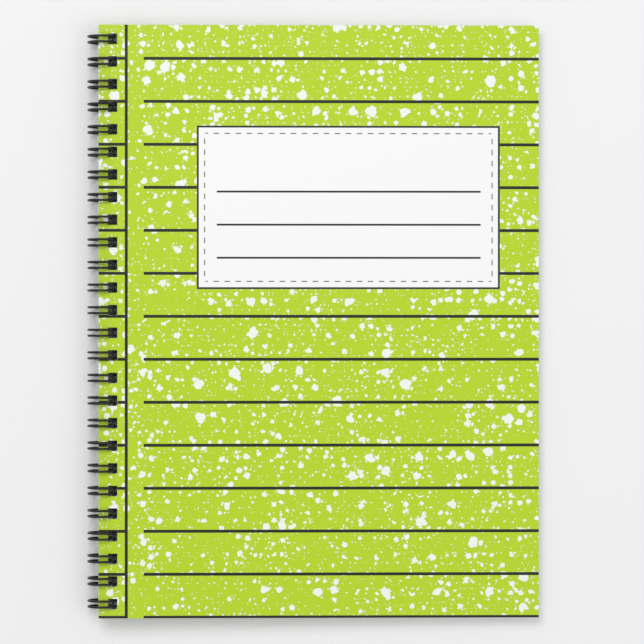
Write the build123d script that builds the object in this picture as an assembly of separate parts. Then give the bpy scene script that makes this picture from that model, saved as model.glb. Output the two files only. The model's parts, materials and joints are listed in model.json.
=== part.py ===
from build123d import *
import math
import os

# A wire-bound notebook: two laminated card covers and a block of ruled sheets on one twin-loop wire.
# It lies on its back cover. X runs across the covers from the binding to the fore-edge, Y runs up the
# cover, and Z is up. The origin is under the middle of the whole notebook, on the surface it lies on.
# All sizes are in millimetres.

# Covers and sheets
COVER_WIDTH = 165.1
COVER_HEIGHT = 222.25
COVER_THICKNESS = 0.4
SHEET_THICKNESS = 0.1
SHEET_COUNT = 40
SHEET_INSET = 1.2  # the sheets stop this far inside the covers at the head, tail and fore-edge

# Punched holes
HOLE_PITCH = 25.4 / 3
HOLE_MARGIN = 3.45  # from the spine edge to the near side of a hole
HOLE_WIDTH = 3.6  # across the covers
HOLE_HEIGHT = 4.0  # along the spine
HOLE_CORNER = 0.3
END_MARGIN = 5.0  # least distance from the middle of an end hole to the head or tail

# Binding wire
WIRE_DIAMETER = 0.9
PAIR_SPACING = 2.2  # between the middles of the two wires of a loop
LINK_BEND = 0.9  # radius of the bend from a loop into the link to the next one
END_STUB = 1.0  # the wire runs on this far past its last bend at each end
LOOP_INSET = 1.15  # the loops' common centre line lies this far inside the spine edge

# Clearances
HOLE_CLEARANCE = 0.35  # between a loop and the far side of a hole
TURN_CLEARANCE = 0.03  # between a turning cover and the corners that it passes
LINK_CLEARANCE = 0.03  # between the links and what lies above and below them
SEAM_CLEARANCE = 0.15  # between the tip of a loop and the bends that it tucks in between
LAY_CLEARANCE = 0.03  # between pieces where one lies on another

# Worked-out sizes. Distances from the loops' centre line are in the block's own frame, X outwards
# along the sheets and Z through them.
wire_radius = WIRE_DIAMETER / 2
half_pair = PAIR_SPACING / 2
spine_edge = -LOOP_INSET
far_edge = COVER_WIDTH - LOOP_INSET
loop_radius = HOLE_MARGIN + HOLE_WIDTH - LOOP_INSET - HOLE_CLEARANCE - wire_radius
outer_radius = loop_radius + wire_radius
loop_count = int((COVER_HEIGHT - 2 * END_MARGIN) / HOLE_PITCH) + 1
first_loop = -(loop_count - 1) * HOLE_PITCH / 2

half_block = SHEET_COUNT * SHEET_THICKNESS / 2
back_inner = math.hypot(LOOP_INSET, half_block) + TURN_CLEARANCE
back_outer = back_inner + COVER_THICKNESS
link_room = half_block + WIRE_DIAMETER + 3 * LINK_CLEARANCE
front_inner = max(math.hypot(LOOP_INSET, back_outer) + TURN_CLEARANCE, link_room)

# Each piece sinks at its fore-edge until it meets what it lies on: the back cover the table, the
# block the back cover, and the front cover the block. All of them turn about the loops' centre line.
block_edge = far_edge - SHEET_INSET
back_sink = math.asin(outer_radius / math.hypot(far_edge, back_outer)) - math.atan(back_outer / far_edge)
block_sink = back_sink + math.asin((back_inner - half_block - LAY_CLEARANCE) / block_edge)
front_sink = block_sink + math.asin((front_inner - half_block - LAY_CLEARANCE) / block_edge)


def loop_places():
    """The place of each loop's middle along the spine."""
    return [first_loop + number * HOLE_PITCH for number in range(loop_count)]


def punched(thickness, length, height):
    """A sheet or block from the spine edge, with its underside at zero and the row of holes through it."""
    hole_middle = spine_edge + HOLE_MARGIN + HOLE_WIDTH / 2
    outline = Pos(spine_edge + length / 2, 0) * Rectangle(length, height)
    holes = Sketch() + [
        Pos(hole_middle, place) * RectangleRounded(HOLE_WIDTH, HOLE_HEIGHT, HOLE_CORNER)
        for place in loop_places()
    ]
    return extrude(outline - holes, thickness)


def front_cover():
    return Pos(0, 0, front_inner) * punched(COVER_THICKNESS, COVER_WIDTH, COVER_HEIGHT)


def page_block():
    length = COVER_WIDTH - SHEET_INSET
    height = COVER_HEIGHT - 2 * SHEET_INSET
    return Pos(0, 0, -half_block) * punched(2 * half_block, length, height)


def back_cover():
    return Pos(0, 0, -back_outer) * punched(COVER_THICKNESS, COVER_WIDTH, COVER_HEIGHT)


def on_loop(angle, along, onward=0.0):
    """The point at this angle round a loop, at this place along the spine, and onward along the loop's
    tangent there."""
    x = loop_radius * math.cos(angle) - onward * math.sin(angle)
    z = loop_radius * math.sin(angle) + onward * math.cos(angle)
    return (x, along, z)


def loop_angles():
    """Where a loop's wire leaves for the links, and where its closed tip begins. Both lie near the top of
    the block, and the wire goes the long way round from the tip to the links."""
    link_level = half_block + LINK_CLEARANCE + wire_radius
    link_distance = math.hypot(loop_radius, LINK_BEND)
    leave = math.asin(link_level / link_distance) - math.atan(LINK_BEND / loop_radius)
    side_step = half_pair + LINK_BEND
    apart = side_step + WIRE_DIAMETER + SEAM_CLEARANCE
    tip = leave + math.sqrt(apart**2 - side_step**2) / loop_radius
    return leave, tip


def loop_path(middle, way_in, way_out):
    """One loop's stretch of the wire, from its link on the tail side to its link on the head side."""
    leave, tip = loop_angles()
    low, high = middle - half_pair, middle + half_pair
    turned = LINK_BEND * math.sin(math.pi / 4)
    short = LINK_BEND - turned
    full_turn = 2 * math.pi
    halfway = (leave + full_turn + tip) / 2
    low_link = on_loop(leave, low - LINK_BEND, LINK_BEND)
    high_link = on_loop(leave, high + LINK_BEND, LINK_BEND)
    low_leg, low_tip = on_loop(leave, low), on_loop(tip, low)
    high_leg, high_tip = on_loop(leave, high), on_loop(tip, high)
    return [
        Line((low_link[0], low_link[1] - way_in, low_link[2]), low_link),
        ThreePointArc(low_link, on_loop(leave, low - short, turned), low_leg),
        ThreePointArc(low_leg, on_loop(halfway, low), low_tip),
        ThreePointArc(low_tip, on_loop(tip, middle, -half_pair), high_tip),
        ThreePointArc(high_tip, on_loop(halfway, high), high_leg),
        ThreePointArc(high_leg, on_loop(leave, high + short, turned), high_link),
        Line(high_link, (high_link[0], high_link[1] + way_out, high_link[2])),
    ]


def wire_binding():
    """The whole binding: one wire that makes every loop in turn."""
    half_link = HOLE_PITCH / 2 - half_pair - LINK_BEND
    edges = []
    for number, place in enumerate(loop_places()):
        way_in = END_STUB if number == 0 else half_link
        way_out = END_STUB if number == loop_count - 1 else half_link
        edges += loop_path(place, way_in, way_out)
    path = Wire([edge for line in edges for edge in line.edges()])
    section = Plane(origin=path @ 0, z_dir=path % 0) * Circle(wire_radius)
    return sweep(section, path)


def settled(shape, sink):
    """Turns a piece about the loops' centre line as it lies, and lifts that line to its height."""
    return Pos(0, 0, outer_radius) * Rot(0, math.degrees(sink), 0) * shape


def main():
    pieces = {
        "front_cover": settled(front_cover(), front_sink),
        "page_block": settled(page_block(), block_sink),
        "back_cover": settled(back_cover(), back_sink),
        "wire_binding": settled(wire_binding(), block_sink),
    }
    reach = max(piece.bounding_box().max.X for piece in pieces.values())
    middle = (reach - outer_radius) / 2
    os.makedirs("parts", exist_ok=True)
    for name, piece in pieces.items():
        export_step(Pos(-middle, 0, 0) * piece, os.path.join("parts", name + ".step"))
    print("loops:", loop_count, "centre line at x", round(-middle, 4), "z", round(outer_radius, 4))


main()
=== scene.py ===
"""The looks of a wire-bound notebook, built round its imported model."""

import json
import math
import random

import bmesh
import bpy
from mathutils import Matrix, Vector


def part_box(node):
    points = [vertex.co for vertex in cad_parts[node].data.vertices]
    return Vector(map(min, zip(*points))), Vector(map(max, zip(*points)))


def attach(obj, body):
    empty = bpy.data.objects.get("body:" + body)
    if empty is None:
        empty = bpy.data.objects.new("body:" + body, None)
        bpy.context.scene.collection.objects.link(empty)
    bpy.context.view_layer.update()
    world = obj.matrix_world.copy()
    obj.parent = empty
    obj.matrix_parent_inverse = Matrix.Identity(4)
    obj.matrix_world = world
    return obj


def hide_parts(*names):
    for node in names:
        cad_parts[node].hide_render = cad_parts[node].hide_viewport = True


bl_info = {
    "name": "Wire-Bound Notebook",
    "version": (1, 0, 0),
    "blender": (4, 5, 0),
    "location": "View3D > Sidebar > Notebook",
    "description": "Builds the covers, sheets and wire of a wire-bound notebook",
    "category": "Add Mesh",
}

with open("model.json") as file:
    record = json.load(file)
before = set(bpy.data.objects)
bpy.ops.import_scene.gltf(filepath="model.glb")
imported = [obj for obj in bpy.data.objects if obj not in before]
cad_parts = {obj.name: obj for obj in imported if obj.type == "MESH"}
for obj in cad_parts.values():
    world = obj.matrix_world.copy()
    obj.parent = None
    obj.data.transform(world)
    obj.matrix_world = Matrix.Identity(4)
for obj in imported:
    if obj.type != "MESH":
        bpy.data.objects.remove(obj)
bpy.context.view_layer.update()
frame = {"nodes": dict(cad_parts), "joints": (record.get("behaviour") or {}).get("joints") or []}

MM = 0.001
AXIS = Vector(frame["joints"][0]["pos_m"])  # on the loops' common centre line
OUTWARD = Vector((1, 0, 0))


# ---------------------------------------------------------------- sizes and colours


class PrintSizes(bpy.types.PropertyGroup):
    """Sizes of what is printed on the front cover, in millimetres from its head and spine edges."""

    margin_rule: bpy.props.FloatProperty(
        name="Margin Rule", description="Middle of the upright rule, from the spine edge", default=10.35
    )
    margin_rule_width: bpy.props.FloatProperty(
        name="Margin Rule Width", description="Thickness of the upright rule", default=1.12
    )
    first_rule: bpy.props.FloatProperty(
        name="First Rule", description="Middle of the first level rule, from the head", default=12.6
    )
    rule_spacing: bpy.props.FloatProperty(
        name="Rule Spacing", description="From one level rule to the next", default=16.1
    )
    rule_width: bpy.props.FloatProperty(
        name="Rule Width", description="Thickness of the level rules", default=1.12
    )
    rule_start: bpy.props.FloatProperty(
        name="Rule Start", description="Where the level rules start again, from the spine edge", default=16.85
    )
    panel_left: bpy.props.FloatProperty(
        name="Panel Left", description="Outer left edge of the white panel", default=36.75
    )
    panel_right: bpy.props.FloatProperty(
        name="Panel Right", description="Outer right edge of the white panel", default=150.4
    )
    panel_top: bpy.props.FloatProperty(
        name="Panel Top", description="Outer top edge of the white panel", default=37.75
    )
    panel_bottom: bpy.props.FloatProperty(
        name="Panel Bottom", description="Outer bottom edge of the white panel", default=99.0
    )
    panel_border: bpy.props.FloatProperty(
        name="Panel Border", description="Thickness of the panel's black border", default=0.72
    )
    stitch_inset: bpy.props.FloatProperty(
        name="Stitch Inset", description="From the panel's edge to the dashed line", default=2.9
    )
    stitch_spacing: bpy.props.FloatProperty(
        name="Stitch Spacing", description="From one dash to the next", default=4.13
    )
    stitch_width: bpy.props.FloatProperty(
        name="Stitch Width", description="Thickness of the dashed line", default=0.42
    )
    writing_left: bpy.props.FloatProperty(
        name="Writing Left", description="Where the panel's writing lines start", default=44.2
    )
    writing_right: bpy.props.FloatProperty(
        name="Writing Right", description="Where the panel's writing lines end", default=143.2
    )
    writing_first: bpy.props.FloatProperty(
        name="First Writing Line", description="Middle of the first writing line, from the head", default=62.45
    )
    writing_spacing: bpy.props.FloatProperty(
        name="Writing Spacing", description="From one writing line to the next", default=12.4
    )
    writing_width: bpy.props.FloatProperty(
        name="Writing Width", description="Thickness of the writing lines", default=0.72
    )


class BindingSizes(bpy.types.PropertyGroup):
    """Sizes of the wire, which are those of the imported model."""

    hole_pitch: bpy.props.FloatProperty(
        name="Hole Pitch", description="From one loop to the next", default=25.4 / 3 * MM, subtype="DISTANCE"
    )
    wire_diameter: bpy.props.FloatProperty(
        name="Wire Diameter", description="Thickness of the wire", default=0.9 * MM, subtype="DISTANCE"
    )
    pair_spacing: bpy.props.FloatProperty(
        name="Pair Spacing", description="Between a loop's two wires", default=2.2 * MM, subtype="DISTANCE"
    )
    link_bend: bpy.props.FloatProperty(
        name="Link Bend", description="Radius of the bend into a link", default=0.9 * MM, subtype="DISTANCE"
    )
    end_stub: bpy.props.FloatProperty(
        name="End Stub", description="The wire past its last bend", default=1.0 * MM, subtype="DISTANCE"
    )
    seam_clearance: bpy.props.FloatProperty(
        name="Seam Clearance", description="Round the tip of a loop", default=0.15 * MM, subtype="DISTANCE"
    )
    loop_radius: bpy.props.FloatProperty(
        name="Loop Radius", description="Of the middle of the wire", default=5.1 * MM, subtype="DISTANCE"
    )


class SheetSizes(bpy.types.PropertyGroup):
    """Sizes of the block of sheets and of its ruling."""

    count: bpy.props.IntProperty(name="Sheets", description="Number of sheets in the block", default=40, min=1)
    share: bpy.props.FloatProperty(
        name="Sheet Share", description="Share of its layer that a sheet fills", default=0.84, subtype="FACTOR"
    )
    stray: bpy.props.FloatProperty(
        name="Stray", description="How far a sheet lies out of line", default=0.12 * MM, subtype="DISTANCE"
    )
    ruling: bpy.props.FloatProperty(
        name="Ruling", description="Spacing of the ruled lines, in millimetres", default=7.1
    )


class NotebookColours(bpy.types.PropertyGroup):
    """Colours of the notebook."""

    lime: bpy.props.FloatVectorProperty(
        name="Lime", description="Ground of the covers", subtype="COLOR", size=3, default=(0.462, 0.640, 0.0112)
    )
    speckle: bpy.props.FloatVectorProperty(
        name="Speckle", description="Flecks on the covers", subtype="COLOR", size=3, default=(0.87, 0.88, 0.84)
    )
    ink: bpy.props.FloatVectorProperty(
        name="Ink", description="Black print", subtype="COLOR", size=3, default=(0.0065, 0.0065, 0.0065)
    )
    panel: bpy.props.FloatVectorProperty(
        name="Panel", description="The white panel", subtype="COLOR", size=3, default=(0.90, 0.90, 0.905)
    )
    card: bpy.props.FloatVectorProperty(
        name="Card", description="Unprinted card", subtype="COLOR", size=3, default=(0.80, 0.80, 0.78)
    )
    paper: bpy.props.FloatVectorProperty(
        name="Paper", description="The sheets", subtype="COLOR", size=3, default=(0.86, 0.86, 0.83)
    )
    ruling: bpy.props.FloatVectorProperty(
        name="Ruling", description="Ruled lines on the sheets", subtype="COLOR", size=3, default=(0.30, 0.45, 0.62)
    )
    wire: bpy.props.FloatVectorProperty(
        name="Wire", description="Coating of the wire", subtype="COLOR", size=3, default=(0.008, 0.008, 0.009)
    )


# ---------------------------------------------------------------- node helpers


def add_node(tree, kind, **settings):
    """A new node with these settings."""
    node = tree.nodes.new(kind)
    for name, value in settings.items():
        setattr(node, name, value)
    return node


def feed(tree, socket, value):
    """Links an output into a socket, or sets a plain value on it."""
    if isinstance(value, bpy.types.NodeSocket):
        tree.links.new(value, socket)
    else:
        socket.default_value = value


def calculate(tree, operation, *values):
    """The result of a Math node."""
    node = add_node(tree, "ShaderNodeMath", operation=operation)
    for socket, value in zip(node.inputs, values):
        feed(tree, socket, value)
    return node.outputs[0]


def soft_step(tree, value, low, high):
    """0 below low, 1 above high, and smooth between them."""
    node = add_node(tree, "ShaderNodeMapRange", interpolation_type="SMOOTHSTEP")
    feed(tree, node.inputs["Value"], value)
    feed(tree, node.inputs["From Min"], low)
    feed(tree, node.inputs["From Max"], high)
    return node.outputs["Result"]


def mix_colour(tree, share, first, second):
    """Two colours mixed by a share."""
    node = add_node(tree, "ShaderNodeMix", data_type="RGBA")
    colours = [socket for socket in node.inputs if socket.type == "RGBA"]
    feed(tree, node.inputs["Factor"], share)
    for socket, colour in zip(colours, (first, second)):
        feed(tree, socket, colour)
    return next(socket for socket in node.outputs if socket.type == "RGBA")


def noise(tree, vector, scale, detail=2.0, dimensions="3D"):
    """A noise texture's value."""
    node = add_node(tree, "ShaderNodeTexNoise", noise_dimensions=dimensions)
    feed(tree, node.inputs["Vector"], vector)
    feed(tree, node.inputs["Scale"], scale)
    feed(tree, node.inputs["Detail"], detail)
    return node.outputs["Fac"]


def opaque(colour):
    return (*colour, 1.0)


def start_group(name, inputs, outputs):
    """A new shader group with float, vector or colour sockets, and its input and output nodes."""
    group = bpy.data.node_groups.new(name, "ShaderNodeTree")
    for way, sockets in (("INPUT", inputs), ("OUTPUT", outputs)):
        for label, kind in sockets.items():
            group.interface.new_socket(label, in_out=way, socket_type="NodeSocket" + kind)
    return group, add_node(group, "NodeGroupInput"), add_node(group, "NodeGroupOutput")


def place_group(tree, name, **values):
    """A group placed in a tree, with its values. An underscore in a name stands for a space."""
    node = add_node(tree, "ShaderNodeGroup", node_tree=bpy.data.node_groups[name])
    for label, value in values.items():
        feed(tree, node.inputs[label.replace("_", " ")], value)
    return node


# ---------------------------------------------------------------- shared groups


def build_bar_group():
    """A printed bar: 1 inside its four edges, which are in millimetres."""
    floats = dict.fromkeys(("X", "Y", "Left", "Right", "Top", "Bottom"), "Float")
    group, given, result = start_group("Printed Bar", floats, {"Mask": "Float"})
    x, y = given.outputs["X"], given.outputs["Y"]
    depth = calculate(group, "SUBTRACT", x, given.outputs["Left"])
    for distance in (
        calculate(group, "SUBTRACT", given.outputs["Right"], x),
        calculate(group, "SUBTRACT", y, given.outputs["Top"]),
        calculate(group, "SUBTRACT", given.outputs["Bottom"], y),
    ):
        depth = calculate(group, "MINIMUM", depth, distance)
    group.links.new(soft_step(group, depth, -0.06, 0.06), result.inputs["Mask"])


def build_repeat_group():
    """Lines that repeat along one direction: 1 on each line."""
    floats = dict.fromkeys(("Value", "First", "Spacing", "Width"), "Float")
    group, given, result = start_group("Repeated Line", floats, {"Mask": "Float"})
    spacing = given.outputs["Spacing"]
    past = calculate(group, "SUBTRACT", given.outputs["Value"], given.outputs["First"])
    shifted = calculate(group, "ADD", past, calculate(group, "MULTIPLY", spacing, 0.5))
    wrapped = calculate(group, "FLOORED_MODULO", shifted, spacing)
    away = calculate(group, "ABSOLUTE", calculate(group, "SUBTRACT", wrapped, calculate(group, "MULTIPLY", spacing, 0.5)))
    inside = calculate(group, "SUBTRACT", calculate(group, "MULTIPLY", given.outputs["Width"], 0.5), away)
    group.links.new(soft_step(group, inside, -0.06, 0.06), result.inputs["Mask"])


def build_fleck_group():
    """One size of fleck: a share of the cells holds a ragged blot between the least and greatest radius."""
    inputs = {"Vector": "Vector", "Cell": "Float", "Share": "Float", "Least": "Float", "Greatest": "Float", "Rag": "Float"}
    group, given, result = start_group("Flecks", inputs, {"Mask": "Float"})
    vector = given.outputs["Vector"]
    wobble = add_node(group, "ShaderNodeTexNoise", noise_dimensions="2D")
    feed(group, wobble.inputs["Vector"], vector)
    feed(group, wobble.inputs["Scale"], calculate(group, "DIVIDE", 1.1, given.outputs["Greatest"]))
    feed(group, wobble.inputs["Detail"], 3.0)
    centred = add_node(group, "ShaderNodeVectorMath", operation="SUBTRACT")
    feed(group, centred.inputs[0], wobble.outputs["Color"])
    centred.inputs[1].default_value = (0.5, 0.5, 0.5)
    scaled = add_node(group, "ShaderNodeVectorMath", operation="SCALE")
    feed(group, scaled.inputs[0], centred.outputs[0])
    feed(group, scaled.inputs["Scale"], calculate(group, "MULTIPLY", given.outputs["Rag"], given.outputs["Greatest"]))
    moved = add_node(group, "ShaderNodeVectorMath", operation="ADD")
    feed(group, moved.inputs[0], vector)
    feed(group, moved.inputs[1], scaled.outputs[0])
    cells = add_node(group, "ShaderNodeTexVoronoi", voronoi_dimensions="2D", feature="F1")
    feed(group, cells.inputs["Vector"], moved.outputs[0])
    feed(group, cells.inputs["Scale"], calculate(group, "DIVIDE", 1.0, given.outputs["Cell"]))
    chance = add_node(group, "ShaderNodeSeparateColor")
    feed(group, chance.inputs[0], cells.outputs["Color"])
    distance = calculate(group, "MULTIPLY", cells.outputs["Distance"], given.outputs["Cell"])
    span = calculate(group, "SUBTRACT", given.outputs["Greatest"], given.outputs["Least"])
    uneven = calculate(group, "POWER", chance.outputs["Red"], 2.0)
    radius = calculate(group, "MULTIPLY_ADD", uneven, span, given.outputs["Least"])
    present = calculate(group, "LESS_THAN", chance.outputs["Green"], given.outputs["Share"])
    inside = calculate(group, "SUBTRACT", radius, distance)
    blot = calculate(group, "MULTIPLY", soft_step(group, inside, -0.09, 0.09), present)
    group.links.new(blot, result.inputs["Mask"])


def build_speckle_group():
    """The whole speckle: large, middling and fine flecks, thicker in some places than in others."""
    group, given, result = start_group("Speckle", {"Vector": "Vector"}, {"Flecks": "Float", "Faint": "Float"})
    vector = given.outputs["Vector"]
    crowd = noise(group, vector, 0.045, 1.0, "2D")
    crowding = soft_step(group, crowd, 0.3, 0.7)
    large = place_group(
        group, "Flecks", Vector=vector, Cell=6.4, Least=0.7, Greatest=2.1, Rag=1.1,
        Share=calculate(group, "MULTIPLY_ADD", crowding, 0.3, 0.22),
    ).outputs[0]
    middling = place_group(
        group, "Flecks", Vector=vector, Cell=3.3, Least=0.35, Greatest=1.15, Rag=1.2,
        Share=calculate(group, "MULTIPLY_ADD", crowding, 0.35, 0.3),
    ).outputs[0]
    fine = place_group(
        group, "Flecks", Vector=vector, Cell=1.9, Least=0.16, Greatest=0.42, Rag=1.0,
        Share=calculate(group, "MULTIPLY_ADD", crowding, 0.2, 0.22),
    ).outputs[0]
    faint = place_group(group, "Flecks", Vector=vector, Cell=1.25, Least=0.1, Greatest=0.34, Rag=1.0, Share=0.26)
    strong = calculate(group, "MAXIMUM", calculate(group, "MAXIMUM", large, middling), fine)
    group.links.new(strong, result.inputs["Flecks"])
    group.links.new(faint.outputs[0], result.inputs["Faint"])


def build_fibre_group():
    """The slight tooth of card and paper, for bump and roughness."""
    group, given, result = start_group("Fibre", {"Vector": "Vector", "Scale": "Float"}, {"Value": "Float"})
    coarse = noise(group, given.outputs["Vector"], given.outputs["Scale"], 4.0)
    fine = noise(group, given.outputs["Vector"], calculate(group, "MULTIPLY", given.outputs["Scale"], 5.0), 2.0)
    group.links.new(calculate(group, "MULTIPLY_ADD", fine, 0.4, coarse), result.inputs["Value"])


# ---------------------------------------------------------------- materials


def start_material(name, slot_colour):
    """A material with its tree, its shader and Object coordinates."""
    material = bpy.data.materials.new(name)
    material.use_nodes = True
    material.diffuse_color = opaque(slot_colour)
    tree = material.node_tree
    shader = tree.nodes["Principled BSDF"] if "Principled BSDF" in tree.nodes else None
    if shader is None:
        raise RuntimeError(f"{name} has no shader")
    place = add_node(tree, "ShaderNodeTexCoord").outputs["Object"]
    return material, tree, shader, place


def add_bump(tree, shader, height, distance, strength):
    bump = add_node(tree, "ShaderNodeBump")
    bump.inputs["Distance"].default_value = distance
    bump.inputs["Strength"].default_value = strength
    feed(tree, bump.inputs["Height"], height)
    feed(tree, shader.inputs["Normal"], bump.outputs["Normal"])


def cover_millimetres(tree, place, node):
    """Millimetres from the spine edge and from the head of a cover, and the two as a vector."""
    low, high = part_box(node)
    mapping = add_node(tree, "ShaderNodeMapping")
    mapping.inputs["Location"].default_value = (-low.x / MM, high.y / MM, 0)
    mapping.inputs["Scale"].default_value = (1 / MM, -1 / MM, 0)
    feed(tree, mapping.inputs["Vector"], place)
    split = add_node(tree, "ShaderNodeSeparateXYZ")
    feed(tree, split.inputs[0], mapping.outputs[0])
    return split.outputs["X"], split.outputs["Y"], mapping.outputs[0]


def bar(tree, x, y, left, right, top, bottom):
    return place_group(tree, "Printed Bar", X=x, Y=y, Left=left, Right=right, Top=top, Bottom=bottom).outputs[0]


def repeated(tree, value, first, spacing, width):
    return place_group(tree, "Repeated Line", Value=value, First=first, Spacing=spacing, Width=width).outputs[0]


def both(tree, first, second):
    return calculate(tree, "MULTIPLY", first, second)


def either(tree, first, second):
    return calculate(tree, "MAXIMUM", first, second)


def speckled_ground(tree, vector, colours):
    """Lime card with white flecks."""
    flecks = place_group(tree, "Speckle", Vector=vector)
    tinted = both(tree, flecks.outputs["Faint"], 0.55)
    ground = mix_colour(tree, tinted, opaque(colours.lime), opaque(colours.speckle))
    return mix_colour(tree, flecks.outputs["Flecks"], ground, opaque(colours.speckle))


def rules(tree, x, y, sizes, width):
    """The upright rule and the level rules, which stop short beside it."""
    half = sizes.margin_rule_width / 2
    height = 1000.0
    upright = bar(tree, x, y, sizes.margin_rule - half, sizes.margin_rule + half, -height, height)
    level = repeated(tree, y, sizes.first_rule, sizes.rule_spacing, sizes.rule_width)
    below_head = calculate(tree, "GREATER_THAN", y, sizes.first_rule / 2)
    at_spine = bar(tree, x, y, -1.0, sizes.margin_rule, -height, height)
    across = bar(tree, x, y, sizes.rule_start, width + 1.0, -height, height)
    level = both(tree, both(tree, level, below_head), either(tree, at_spine, across))
    return either(tree, upright, level)


def panel_masks(tree, x, y, sizes):
    """The panel's white field and the ink on it: border, dashed line and writing lines."""
    left, right, top, bottom = sizes.panel_left, sizes.panel_right, sizes.panel_top, sizes.panel_bottom
    field = bar(tree, x, y, left, right, top, bottom)

    def within(inset):
        return bar(tree, x, y, left + inset, right - inset, top + inset, bottom - inset)

    def ring(inset, width):
        return calculate(tree, "SUBTRACT", within(inset), within(inset + width))

    border = ring(0.0, sizes.panel_border)
    stitch = ring(sizes.stitch_inset - sizes.stitch_width / 2, sizes.stitch_width)
    middle_x, middle_y = (left + right) / 2, (top + bottom) / 2
    dash = sizes.stitch_spacing / 2
    across = repeated(tree, x, middle_x, sizes.stitch_spacing, dash)
    down = repeated(tree, y, middle_y, sizes.stitch_spacing, dash)
    side = sizes.stitch_inset + sizes.stitch_width
    level_run = bar(tree, x, y, left + side, right - side, top, bottom)
    dashes = either(tree, both(tree, across, level_run), both(tree, down, calculate(tree, "SUBTRACT", 1.0, level_run)))
    ink = either(tree, border, both(tree, both(tree, stitch, dashes), 0.85))
    half = sizes.writing_width / 2
    for number in range(3):
        middle = sizes.writing_first + number * sizes.writing_spacing
        line = bar(tree, x, y, sizes.writing_left, sizes.writing_right, middle - half, middle + half)
        ink = either(tree, ink, line)
    return field, ink


def finish_laminate(tree, shader, place):
    """The satin film over printed card: slightly uneven, with a faint tooth."""
    fibre = place_group(tree, "Fibre", Vector=place, Scale=900.0).outputs[0]
    feed(tree, shader.inputs["Roughness"], calculate(tree, "MULTIPLY_ADD", fibre, 0.10, 0.36))
    shader.inputs["Coat Weight"].default_value = 0.12
    shader.inputs["Coat Roughness"].default_value = 0.28
    shader.inputs["Specular IOR Level"].default_value = 0.35
    add_bump(tree, shader, fibre, 0.00002, 0.25)


def front_print(scene):
    colours, sizes = scene.notebook_colours, scene.notebook_print
    material, tree, shader, place = start_material("Front Print", colours.lime)
    x, y, vector = cover_millimetres(tree, place, "front_cover")
    low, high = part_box("front_cover")
    colour = speckled_ground(tree, vector, colours)
    ink = opaque(colours.ink)
    colour = mix_colour(tree, rules(tree, x, y, sizes, (high.x - low.x) / MM), colour, ink)
    field, panel_ink = panel_masks(tree, x, y, sizes)
    colour = mix_colour(tree, field, colour, opaque(colours.panel))
    colour = mix_colour(tree, panel_ink, colour, ink)
    feed(tree, shader.inputs["Base Color"], colour)
    finish_laminate(tree, shader, place)
    return material


def back_print(scene):
    """The back cover carries the speckle only."""
    colours = scene.notebook_colours
    material, tree, shader, place = start_material("Back Print", colours.lime)
    x, y, vector = cover_millimetres(tree, place, "back_cover")
    feed(tree, shader.inputs["Base Color"], speckled_ground(tree, vector, colours))
    finish_laminate(tree, shader, place)
    return material


def plain_card(scene):
    colours = scene.notebook_colours
    material, tree, shader, place = start_material("Plain Card", colours.card)
    fibre = place_group(tree, "Fibre", Vector=place, Scale=1400.0).outputs[0]
    shade = soft_step(tree, fibre, 0.4, 1.0)
    darker = opaque([part * 0.93 for part in colours.card])
    feed(tree, shader.inputs["Base Color"], mix_colour(tree, shade, darker, opaque(colours.card)))
    feed(tree, shader.inputs["Roughness"], calculate(tree, "MULTIPLY_ADD", fibre, 0.15, 0.6))
    add_bump(tree, shader, fibre, 0.00003, 0.4)
    return material


def ruled_paper(scene):
    """Uncoated paper with level ruled lines and a margin line."""
    colours, sizes = scene.notebook_colours, scene.notebook_sheets
    material, tree, shader, place = start_material("Ruled Paper", colours.paper)
    x, y, _ = cover_millimetres(tree, place, "page_block")
    fibre = place_group(tree, "Fibre", Vector=place, Scale=1800.0).outputs[0]
    darker = opaque([part * 0.95 for part in colours.paper])
    colour = mix_colour(tree, soft_step(tree, fibre, 0.4, 1.0), darker, opaque(colours.paper))
    low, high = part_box("page_block")
    head_room, foot_room, line_width = 24.0, 10.0, 0.22
    level = repeated(tree, y, head_room, sizes.ruling, line_width)
    height = (high.y - low.y) / MM
    ruled_part = bar(tree, x, y, -1.0, 1000.0, head_room - 1.0, height - foot_room)
    margin = bar(tree, x, y, 25.0, 25.0 + line_width, -1.0, 1000.0)
    lines = both(tree, either(tree, both(tree, level, ruled_part), margin), 0.6)
    colour = mix_colour(tree, lines, colour, opaque(colours.ruling))
    feed(tree, shader.inputs["Base Color"], colour)
    feed(tree, shader.inputs["Roughness"], calculate(tree, "MULTIPLY_ADD", fibre, 0.1, 0.78))
    shader.inputs["Specular IOR Level"].default_value = 0.25
    add_bump(tree, shader, fibre, 0.00003, 0.35)
    return material


def coated_wire(scene):
    """Smooth black coating on steel wire."""
    colours = scene.notebook_colours
    material, tree, shader, place = start_material("Coated Wire", colours.wire)
    grain = noise(tree, place, 2600.0, 3.0)
    worn = opaque([part * 2.2 for part in colours.wire])
    feed(tree, shader.inputs["Base Color"], mix_colour(tree, soft_step(tree, grain, 0.5, 0.8), opaque(colours.wire), worn))
    feed(tree, shader.inputs["Roughness"], calculate(tree, "MULTIPLY_ADD", grain, 0.16, 0.30))
    shader.inputs["Specular IOR Level"].default_value = 0.4
    add_bump(tree, shader, grain, 0.00001, 0.3)
    return material


# ---------------------------------------------------------------- meshes


def merged_copy(node):
    """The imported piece's shape as one closed bmesh with flat faces whole."""
    shape = bmesh.new()
    shape.from_mesh(frame["nodes"][node].data)
    bmesh.ops.remove_doubles(shape, verts=shape.verts, dist=1e-6)
    bmesh.ops.dissolve_limit(shape, angle_limit=math.radians(0.5), verts=shape.verts, edges=shape.edges)
    return shape


def sink_of(node):
    """How far a piece is turned down about the loops' centre line, from its underside's slope."""
    shape = frame["nodes"][node].data
    flat = max(shape.polygons, key=lambda face: face.normal.z * face.area)
    return math.atan2(flat.normal.x, flat.normal.z)


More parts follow.
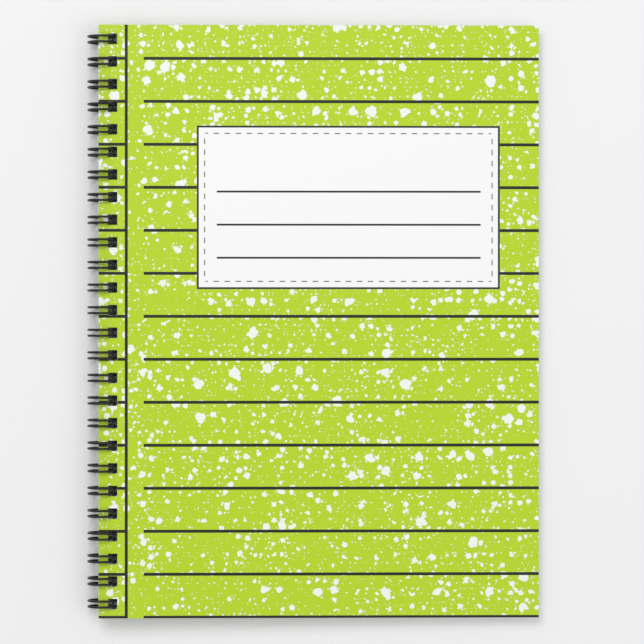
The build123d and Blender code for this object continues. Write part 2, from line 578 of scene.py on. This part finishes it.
def turned(sink):
    """The turn that lays a level piece down by this much."""
    return Matrix.Translation(AXIS) @ Matrix.Rotation(sink, 4, "Y") @ Matrix.Translation(-AXIS)


def new_piece(name, shape, materials):
    """A mesh object at the origin, made from a bmesh."""
    mesh = bpy.data.meshes.new(name)
    shape.to_mesh(mesh)
    shape.free()
    for material in materials:
        mesh.materials.append(material)
    piece = bpy.data.objects.new(name, mesh)
    bpy.context.scene.collection.objects.link(piece)
    return piece


def punched_cover(name, node, printed, card, outer_sign):
    """A cover with print on its outer face, plain card inside and on its cut edges."""
    shape = merged_copy(node)
    tilt = Vector((math.sin(sink_of(node)), 0, math.cos(sink_of(node))))
    for face in shape.faces:
        face.normal_update()
        face.material_index = 0 if face.normal.dot(tilt) * outer_sign > 0.9 else 1
    sharp = [edge for edge in shape.edges if edge.is_manifold and edge.calc_face_angle() > math.radians(60)]
    rims = [edge for edge in sharp if abs((edge.verts[0].co - edge.verts[1].co).normalized().dot(tilt)) < 0.1]
    bmesh.ops.bevel(
        shape, geom=rims, offset=0.00005, segments=2, profile=0.5, affect="EDGES", material=-1, clamp_overlap=True
    )
    piece = new_piece(name, shape, [printed, card])
    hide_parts(node)
    return piece


def wire_points(sizes):
    """Points along the middle of the wire, level, about a centre line through the origin."""
    low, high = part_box("wire_binding")
    block_top = frame_block_half()
    radius, bend, half_pair = sizes.loop_radius, sizes.link_bend, sizes.pair_spacing / 2
    link_level = block_top + 0.03 * MM + sizes.wire_diameter / 2
    leave = math.asin(link_level / math.hypot(radius, bend)) - math.atan(bend / radius)
    side_step = half_pair + bend
    apart = side_step + sizes.wire_diameter + sizes.seam_clearance
    tip = leave + math.sqrt(apart**2 - side_step**2) / radius
    length = high.y - low.y
    count = round((length - 2 * (side_step + sizes.end_stub)) / sizes.hole_pitch) + 1
    first = -(count - 1) * sizes.hole_pitch / 2

    def at(angle, along, onward=0.0):
        x = radius * math.cos(angle) - onward * math.sin(angle)
        z = radius * math.sin(angle) + onward * math.cos(angle)
        return Vector((x, along, z))

    def half_loop(middle, side, stub):
        """From the link into one leg and round to the loop's tip."""
        leg = middle + side * half_pair
        points = [at(leave, leg + side * (bend + stub), bend)]
        bend_steps, leg_steps, tip_steps = 6, 60, 6
        for step in range(bend_steps + 1):
            turn = math.radians(90) * (1 - step / bend_steps)
            points.append(at(leave, leg + side * bend * (1 - math.cos(turn)), bend * math.sin(turn)))
        for step in range(1, leg_steps + 1):
            share = step / leg_steps
            points.append(at(leave + 2 * math.pi + (tip - leave - 2 * math.pi) * share, leg))
        for step in range(1, tip_steps + 1):
            turn = math.radians(90) * step / tip_steps
            points.append(at(tip, middle + side * half_pair * math.cos(turn), -half_pair * math.sin(turn)))
        return points

    half_link = sizes.hole_pitch / 2 - side_step
    path = []
    for number in range(count):
        middle = first + number * sizes.hole_pitch
        way_in = sizes.end_stub if number == 0 else half_link
        way_out = sizes.end_stub if number == count - 1 else half_link
        path += half_loop(middle, -1, way_in)
        path += half_loop(middle, 1, way_out)[-2::-1]
    return path


def frame_block_half():
    """Half the thickness of the block of sheets, measured square to them."""
    normal = Vector((math.sin(sink_of("page_block")), 0, math.cos(sink_of("page_block"))))
    return max((vertex.co - AXIS).dot(normal) for vertex in frame["nodes"]["page_block"].data.vertices)


# ---------------------------------------------------------------- operators


class NOTEBOOK_OT_groups(bpy.types.Operator):
    """Makes the shader groups that the materials share"""

    bl_idname = "notebook.groups"
    bl_label = "Shader Groups"

    def execute(self, context):
        build_bar_group()
        build_repeat_group()
        build_fleck_group()
        build_speckle_group()
        build_fibre_group()
        return {"FINISHED"}


class NOTEBOOK_OT_covers(bpy.types.Operator):
    """Makes the two punched covers with their print"""

    bl_idname = "notebook.covers"
    bl_label = "Covers"

    def execute(self, context):
        card = plain_card(context.scene)
        front = punched_cover("front_cover_card", "front_cover", front_print(context.scene), card, 1)
        back = punched_cover("back_cover_card", "back_cover", back_print(context.scene), card, -1)
        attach(front, "front")
        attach(back, "back")
        return {"FINISHED"}


class NOTEBOOK_OT_sheets(bpy.types.Operator):
    """Makes the block of loose sheets"""

    bl_idname = "notebook.sheets"
    bl_label = "Sheets"

    def execute(self, context):
        sizes = context.scene.notebook_sheets
        sink = sink_of("page_block")
        half = frame_block_half()
        level = merged_copy("page_block")
        bmesh.ops.transform(level, matrix=turned(sink).inverted(), verts=level.verts)
        layer = 2 * half / sizes.count
        thin = Matrix.Translation(AXIS) @ Matrix.Diagonal((1, 1, sizes.share / sizes.count, 1))
        bmesh.ops.transform(level, matrix=thin @ Matrix.Translation(-AXIS), verts=level.verts)
        draw = random.Random(7)
        block = bmesh.new()
        sheet = bpy.data.meshes.new("one_sheet")
        for number in range(sizes.count):
            height = (number + 0.5) * layer - half
            stray = Vector((draw.uniform(-1, 0.2) * sizes.stray, draw.uniform(-1, 1) * sizes.stray, height))
            copy = level.copy()
            bmesh.ops.transform(copy, matrix=turned(sink) @ Matrix.Translation(stray), verts=copy.verts)
            copy.to_mesh(sheet)
            copy.free()
            block.from_mesh(sheet)
        level.free()
        bpy.data.meshes.remove(sheet)
        piece = new_piece("page_sheets", block, [ruled_paper(context.scene)])
        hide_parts("page_block")
        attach(piece, "block")
        return {"FINISHED"}


class NOTEBOOK_OT_wire(bpy.types.Operator):
    """Makes the binding as one wire through every loop"""

    bl_idname = "notebook.wire"
    bl_label = "Binding Wire"

    def execute(self, context):
        sizes = context.scene.notebook_binding
        path = wire_points(sizes)
        curve = bpy.data.curves.new("wire_path", "CURVE")
        curve.dimensions = "3D"
        curve.bevel_depth = sizes.wire_diameter / 2
        curve.bevel_resolution = 3
        curve.use_fill_caps = True
        spline = curve.splines.new("POLY")
        spline.points.add(len(path) - 1)
        for point, place in zip(spline.points, path):
            point.co = (*place, 1.0)
        drawn = bpy.data.objects.new("wire_path", curve)
        context.scene.collection.objects.link(drawn)
        mesh = bpy.data.meshes.new_from_object(drawn)
        bpy.data.objects.remove(drawn)
        shape = bmesh.new()
        shape.from_mesh(mesh)
        bpy.data.meshes.remove(mesh)
        bmesh.ops.remove_doubles(shape, verts=shape.verts, dist=1e-7)
        bmesh.ops.recalc_face_normals(shape, faces=shape.faces)
        lay = Matrix.Translation(AXIS) @ Matrix.Rotation(sink_of("page_block"), 4, "Y")
        bmesh.ops.transform(shape, matrix=lay, verts=shape.verts)
        for face in shape.faces:
            face.smooth = True
        piece = new_piece("binding_wire", shape, [coated_wire(context.scene)])
        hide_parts("wire_binding")
        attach(piece, "block")
        return {"FINISHED"}


class NOTEBOOK_OT_stage(bpy.types.Operator):
    """Makes the pale floor, the soft lights and the camera above the cover"""

    bl_idname = "notebook.stage"
    bl_label = "Stage"

    def execute(self, context):
        scene = context.scene
        make_floor(scene)
        make_world(scene)
        make_lights(scene)
        make_camera(scene)
        scene.view_settings.view_transform = "Standard"
        return {"FINISHED"}


def make_floor(scene):
    shape = bmesh.new()
    bmesh.ops.create_grid(shape, x_segments=1, y_segments=1, size=4.0)
    floor = new_piece("floor", shape, [floor_material()])


def floor_material():
    """A pale floor that shows near white and keeps the notebook's shadow."""
    material = bpy.data.materials.new("Pale Floor")
    material.use_nodes = True
    shader = material.node_tree.nodes["Principled BSDF"]
    shader.inputs["Base Color"].default_value = (0.86, 0.86, 0.86, 1)
    shader.inputs["Roughness"].default_value = 0.9
    shader.inputs["Specular IOR Level"].default_value = 0.1
    return material


def make_world(scene):
    world = bpy.data.worlds.new("Soft Studio")
    scene.world = world
    world.use_nodes = True
    background = world.node_tree.nodes["Background"]
    background.inputs["Color"].default_value = (1, 1, 1, 1)
    background.inputs["Strength"].default_value = 0.62


def add_area(scene, name, place, aim, size, energy):
    lamp = bpy.data.lights.new(name, "AREA")
    lamp.shape = "DISK"
    lamp.size = size
    lamp.energy = energy
    holder = bpy.data.objects.new(name, lamp)
    holder.location = place
    holder.rotation_euler = (Vector(aim) - Vector(place)).to_track_quat("-Z", "Y").to_euler()
    scene.collection.objects.link(holder)


def make_lights(scene):
    add_area(scene, "Key", (-0.35, 0.75, 1.3), (0, 0.05, 0), 0.9, 9.5)
    add_area(scene, "Fill", (0.9, -0.3, 1.2), (0, 0, 0), 1.1, 3.2)


def make_camera(scene):
    """Straight above the cover, far enough away that the loops near head and tail open only slightly."""
    low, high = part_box("front_cover")
    distance, seen = 1.2, 0.2415
    right_of_middle, above_middle = 0.0011, -0.0002
    camera = bpy.data.cameras.new("Camera")
    camera.sensor_width = 36.0
    camera.lens = camera.sensor_width * distance / seen
    holder = bpy.data.objects.new("Camera", camera)
    middle = (low + high) / 2
    holder.location = (middle.x + right_of_middle, middle.y + above_middle, middle.z + distance)
    scene.collection.objects.link(holder)
    scene.camera = holder


class NOTEBOOK_PT_panel(bpy.types.Panel):
    """Lists the notebook's operators and sizes"""

    bl_idname = "NOTEBOOK_PT_panel"
    bl_label = "Wire-Bound Notebook"
    bl_space_type = "VIEW_3D"
    bl_region_type = "UI"
    bl_category = "Notebook"

    def draw(self, context):
        for step in STEPS:
            self.layout.operator(step.bl_idname)
        for holder in GROUPS:
            for name in GROUPS[holder].__annotations__:
                self.layout.prop(getattr(context.scene, holder), name)


STEPS = (NOTEBOOK_OT_groups, NOTEBOOK_OT_covers, NOTEBOOK_OT_sheets, NOTEBOOK_OT_wire, NOTEBOOK_OT_stage)
GROUPS = {
    "notebook_print": PrintSizes,
    "notebook_binding": BindingSizes,
    "notebook_sheets": SheetSizes,
    "notebook_colours": NotebookColours,
}


def register():
    for kind in (*GROUPS.values(), *STEPS, NOTEBOOK_PT_panel):
        bpy.utils.register_class(kind)
    for name, kind in GROUPS.items():
        setattr(bpy.types.Scene, name, bpy.props.PointerProperty(type=kind))


def unregister():
    for name in GROUPS:
        delattr(bpy.types.Scene, name)
    for kind in reversed((*GROUPS.values(), *STEPS, NOTEBOOK_PT_panel)):
        bpy.utils.unregister_class(kind)


def main():
    register()
    bpy.ops.notebook.groups()
    bpy.ops.notebook.covers()
    bpy.ops.notebook.sheets()
    bpy.ops.notebook.wire()
    bpy.ops.notebook.stage()


if __name__ == "__main__":
    main()
